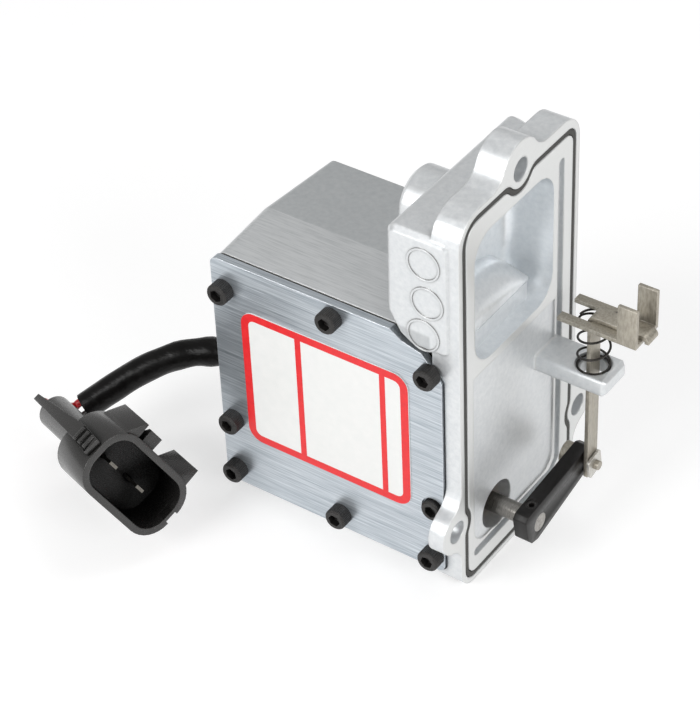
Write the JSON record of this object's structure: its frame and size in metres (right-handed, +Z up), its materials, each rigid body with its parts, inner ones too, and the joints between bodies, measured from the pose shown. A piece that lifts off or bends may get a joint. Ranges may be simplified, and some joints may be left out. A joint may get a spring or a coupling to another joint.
{
  "type": "engine governor actuator",
  "caption": "Rotary solenoid actuator in a cast housing whose flange carries a lever, link and fork that work an engine's fuel control, with a corded plug.",
  "frame": {"origin": "middle of the mating face's lower edge, on the plane that seals against the engine", "axes": "+X leaves the mating face towards the engine, +Z runs up the flange, -Y is the label side"},
  "size_m": [0.1442, 0.1028, 0.1176],
  "materials": {
    "cast_aluminium": "die cast, satin",
    "brushed_plate": "brushed lengthwise",
    "seal_rubber": "matt",
    "black_oxide": "black oxide",
    "label": "satin film with a red border",
    "shaft_steel": "ground",
    "bronze": "sintered",
    "lever_black": "black coated, satin",
    "link_sheet": "plated sheet",
    "spring_black": "oiled black wire",
    "soft_iron": "annealed",
    "bobbin_nylon": "natural",
    "copper_wire": "enamelled copper",
    "gland_rubber": "matt",
    "sleeve_vinyl": "soft vinyl",
    "lead_red": "insulated wire",
    "lead_black": "insulated wire",
    "connector_nylon": "moulded",
    "tin_plate": "tin plated"
  },
  "bodies": {
    "housing_body": {"housing": "cast_aluminium", "cover_plate": "brushed_plate", "cover_gasket": "seal_rubber", "cover_screws": "black_oxide", "nameplate": "label", "face_seal": "seal_rubber", "flange_bushing": "bronze", "end_bushing": "bronze", "link_spring": "spring_black", "stator_core": "soft_iron", "core_screws": "shaft_steel", "coil_bobbin": "bobbin_nylon", "coil_winding": "copper_wire", "return_spring": "spring_black", "stop_pin": "shaft_steel", "cable_gland": "gland_rubber", "cable_sleeve": "sleeve_vinyl", "lead_red": "lead_red", "lead_black": "lead_black", "connector_shell": "connector_nylon", "connector_terminals": "tin_plate", "wire_seals": "seal_rubber", "lock_strap": "connector_nylon"},
    "shaft_assembly": {"output_shaft": "shaft_steel", "armature": "soft_iron", "lever_arm": "lever_black", "lever_set_screw": "black_oxide", "pivot_pin": "shaft_steel", "retaining_clip": "link_sheet"},
    "link": {"link_strip": "link_sheet", "link_fork": "link_sheet"}
  },
  "joints": [
    {"name": "shaft_turn", "type": "hinge", "parent": "housing_body", "child": "shaft_assembly", "pos_m": [0, -0.0095, 0.0164], "axis": [-1, 0, 0], "range_deg": [0, 25], "stiffness_Nm_per_rad": 0.25, "springref_deg": -20.05, "deforming": ["link_spring"]},
    {"name": "link_pivot", "type": "hinge", "parent": "shaft_assembly", "child": "link", "pos_m": [0, 0.012, 0.02], "axis": [-1, 0, 0], "range_deg": [-25, 0]}
  ],
  "couplings": [
    {"joint": "link_pivot", "follows": "shaft_turn", "ratio": -1}
  ]
}
